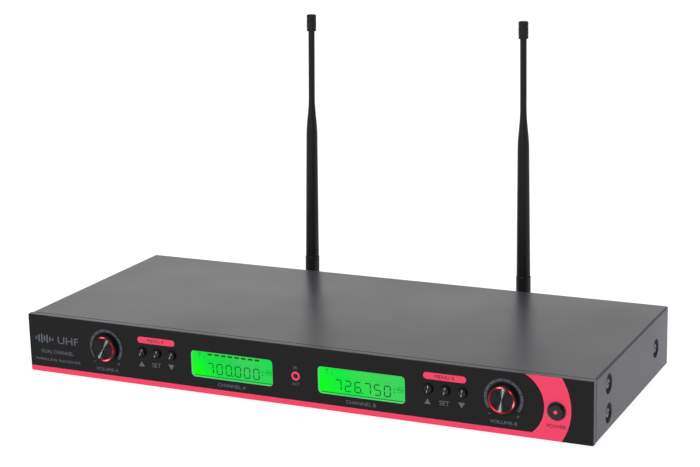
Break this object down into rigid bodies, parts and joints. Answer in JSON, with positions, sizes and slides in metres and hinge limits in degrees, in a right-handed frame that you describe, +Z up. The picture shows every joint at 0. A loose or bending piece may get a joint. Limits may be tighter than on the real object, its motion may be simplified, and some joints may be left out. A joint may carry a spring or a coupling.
{
  "type": "wireless receiver unit",
  "caption": "Flat rack-height wireless receiver with front displays, volume knobs, menu and power buttons, and hinged whip antennas on its rear jacks.",
  "frame": {"origin": "centre of the overall box in plan, at the underside of the rubber feet", "axes": "+X to the right when looking at the front, +Y towards the rear, +Z up"},
  "size_m": [0.438, 0.2219, 0.25],
  "materials": {
    "casing_steel": "satin dark grey powder paint",
    "screws": "nickel plated",
    "overlay": "smooth satin black film",
    "accent": "smooth satin rose red print",
    "dial": "satin grey print",
    "knob": "fine satin black",
    "lit_ring": "translucent red, lit",
    "knob_cap": "spun, dark anodised",
    "bright_metal": "nickel plated",
    "pot": "moulded housing",
    "menu_button": "smooth black, domed",
    "lcd": "backlit green",
    "light_guide": "white diffuser",
    "tinned": "tin plated sheet",
    "sleeve_metal": "nickel plated, knurled",
    "elbow": "moulded black",
    "whip_rubber": "smooth black rubber",
    "switch_black": "moulded",
    "board": "green solder resist",
    "brass_posts": "turned",
    "ir_lens": "dark infrared lens",
    "bezel": "smooth black",
    "power_button": "satin black",
    "red_led": "red, lit",
    "switch_white": "moulded",
    "sink": "extruded",
    "chip_black": "moulded",
    "cap_sleeve": "shrink sleeve",
    "ribbon": "flat cable",
    "coax": "black jacket",
    "connector_black": "moulded black",
    "feet_rubber": "black rubber"
  },
  "bodies": {
    "casing": {"chassis_tray": "casing_steel", "front_panel": "casing_steel", "top_cover": "casing_steel", "side_screws": "screws", "fascia_overlay": "overlay", "accent_film": "accent", "dial_scales": "dial", "pot_a": "pot", "pot_b": "pot", "tact_switches": "switch_black", "front_board": "board", "standoffs": "brass_posts", "lcd_a_glass": "lcd", "lcd_b_glass": "lcd", "lcd_a_backlight": "light_guide", "lcd_b_backlight": "light_guide", "ir_led": "ir_lens", "power_bezel": "bezel", "power_switch": "switch_white", "main_board": "board", "board_screws": "screws", "rf_can_a": "tinned", "rf_can_b": "tinned", "heat_sink": "sink", "regulators": "chip_black", "capacitors": "cap_sleeve", "chips": "chip_black", "ribbon_cable": "ribbon", "coax_leads": "coax", "bnc_jack_a": "bright_metal", "bnc_jack_b": "bright_metal", "ant_a_plug": "sleeve_metal", "ant_b_plug": "sleeve_metal", "xlr_outputs": "connector_black", "mix_jack": "connector_black", "dc_inlet": "connector_black", "feet": "feet_rubber"},
    "knob_a": {"knob_a_body": "knob", "knob_a_ring": "lit_ring", "knob_a_cap": "knob_cap", "knob_a_shaft": "bright_metal"},
    "menu_a_up_button": {"menu_a_up": "menu_button"},
    "menu_a_set_button": {"menu_a_set": "menu_button"},
    "menu_a_down_button": {"menu_a_down": "menu_button"},
    "knob_b": {"knob_b_body": "knob", "knob_b_ring": "lit_ring", "knob_b_cap": "knob_cap", "knob_b_shaft": "bright_metal"},
    "menu_b_up_button": {"menu_b_up": "menu_button"},
    "menu_b_set_button": {"menu_b_set": "menu_button"},
    "menu_b_down_button": {"menu_b_down": "menu_button"},
    "power_button": {"power_cap": "power_button", "power_led": "red_led"},
    "antenna_a_fork": {"ant_a_elbow": "elbow", "ant_a_pin": "bright_metal"},
    "antenna_a_whip": {"ant_a_whip": "whip_rubber"},
    "antenna_b_fork": {"ant_b_elbow": "elbow", "ant_b_pin": "bright_metal"},
    "antenna_b_whip": {"ant_b_whip": "whip_rubber"}
  },
  "joints": [
    {"name": "knob_a_turn", "type": "hinge", "parent": "casing", "child": "knob_a", "pos_m": [-0.1517, -0.10675, 0.029], "axis": [0, 1, 0], "range_deg": [-140, 140]},
    {"name": "menu_a_up_press", "type": "slide", "parent": "casing", "child": "menu_a_up_button", "axis": [0, 1, 0], "range_m": [0, 0.0004], "stiffness_N_per_m": 1500, "springref_m": -0.0003},
    {"name": "menu_a_set_press", "type": "slide", "parent": "casing", "child": "menu_a_set_button", "axis": [0, 1, 0], "range_m": [0, 0.0004], "stiffness_N_per_m": 1500, "springref_m": -0.0003},
    {"name": "menu_a_down_press", "type": "slide", "parent": "casing", "child": "menu_a_down_button", "axis": [0, 1, 0], "range_m": [0, 0.0004], "stiffness_N_per_m": 1500, "springref_m": -0.0003},
    {"name": "knob_b_turn", "type": "hinge", "parent": "casing", "child": "knob_b", "pos_m": [0.1573, -0.10675, 0.029], "axis": [0, 1, 0], "range_deg": [-140, 140]},
    {"name": "menu_b_up_press", "type": "slide", "parent": "casing", "child": "menu_b_up_button", "axis": [0, 1, 0], "range_m": [0, 0.0004], "stiffness_N_per_m": 1500, "springref_m": -0.0003},
    {"name": "menu_b_set_press", "type": "slide", "parent": "casing", "child": "menu_b_set_button", "axis": [0, 1, 0], "range_m": [0, 0.0004], "stiffness_N_per_m": 1500, "springref_m": -0.0003},
    {"name": "menu_b_down_press", "type": "slide", "parent": "casing", "child": "menu_b_down_button", "axis": [0, 1, 0], "range_m": [0, 0.0004], "stiffness_N_per_m": 1500, "springref_m": -0.0003},
    {"name": "power_press", "type": "slide", "parent": "casing", "child": "power_button", "axis": [0, 1, 0], "range_m": [0, 0.0015], "stiffness_N_per_m": 900, "springref_m": -0.001},
    {"name": "antenna_a_swivel", "type": "hinge", "parent": "casing", "child": "antenna_a_fork", "pos_m": [-0.0871, 0.07525, 0.026], "axis": [0, 1, 0], "range_deg": [-90, 20]},
    {"name": "antenna_a_fold", "type": "hinge", "parent": "antenna_a_fork", "child": "antenna_a_whip", "pos_m": [-0.0871, 0.10525, 0.026], "axis": [-0.9996, 0, 0.0279], "range_deg": [0, 90]},
    {"name": "antenna_b_swivel", "type": "hinge", "parent": "casing", "child": "antenna_b_fork", "pos_m": [0.0964, 0.07525, 0.026], "axis": [0, 1, 0], "range_deg": [-20, 90]},
    {"name": "antenna_b_fold", "type": "hinge", "parent": "antenna_b_fork", "child": "antenna_b_whip", "pos_m": [0.0964, 0.10525, 0.026], "axis": [-1, 0, 0], "range_deg": [0, 90]}
  ]
}
